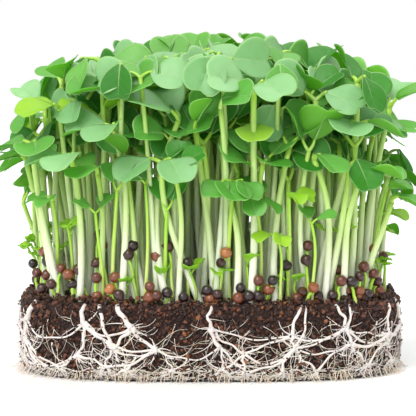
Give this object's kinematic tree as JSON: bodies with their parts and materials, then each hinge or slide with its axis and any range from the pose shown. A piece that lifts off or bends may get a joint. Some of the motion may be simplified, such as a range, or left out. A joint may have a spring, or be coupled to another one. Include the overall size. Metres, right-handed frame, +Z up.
{
  "type": "microgreens growing block",
  "caption": "Low root-bound block of growing medium with a dense stand of pale-stemmed microgreens, heart-shaped seed leaves on top and seed coats at their feet.",
  "frame": {"origin": "centre of the block's flat underside", "axes": "+Z up along the stems, +X along the block's long side, -Y towards the block's front"},
  "size_m": [0.1359, 0.1056, 0.1068],
  "materials": {
    "growing_medium": "dark brown, crumbly, matt",
    "root": "cream white, moist, satin",
    "stem": "white at the foot to pale green above, satin",
    "leaf": "green, smooth, waxy satin",
    "seed_coat": "red-brown to black, slight gloss"
  },
  "bodies": {
    "root": {"medium_block": "growing_medium", "root_net": "root", "stem_01": "stem", "stem_02": "stem", "stem_03": "stem", "stem_04": "stem", "stem_05": "stem", "stem_06": "stem", "stem_07": "stem", "stem_08": "stem", "stem_09": "stem", "stem_10": "stem", "stem_11": "stem", "stem_12": "stem", "stem_13": "stem", "stem_14": "stem", "stem_15": "stem", "stem_16": "stem", "stem_17": "stem", "stem_18": "stem", "stem_19": "stem", "stem_20": "stem", "stem_21": "stem", "stem_22": "stem", "stem_23": "stem", "stem_24": "stem", "stem_25": "stem", "leaf_pair_01": "leaf", "leaf_pair_02": "leaf", "leaf_pair_03": "leaf", "leaf_pair_04": "leaf", "leaf_pair_05": "leaf", "leaf_pair_06": "leaf", "leaf_pair_07": "leaf", "leaf_pair_08": "leaf", "leaf_pair_09": "leaf", "leaf_pair_10": "leaf", "leaf_pair_11": "leaf", "leaf_pair_12": "leaf", "leaf_pair_13": "leaf", "leaf_pair_14": "leaf", "leaf_pair_15": "leaf", "leaf_pair_16": "leaf", "leaf_pair_17": "leaf", "leaf_pair_18": "leaf", "leaf_pair_19": "leaf", "leaf_pair_20": "leaf", "leaf_pair_21": "leaf", "leaf_pair_22": "leaf", "leaf_pair_23": "leaf", "leaf_pair_24": "leaf", "leaf_pair_25": "leaf", "seed_coat_01": "seed_coat", "seed_coat_02": "seed_coat", "seed_coat_03": "seed_coat", "seed_coat_04": "seed_coat", "seed_coat_05": "seed_coat", "seed_coat_06": "seed_coat", "seed_coat_07": "seed_coat", "seed_coat_08": "seed_coat"}
  },
  "joints": []
}
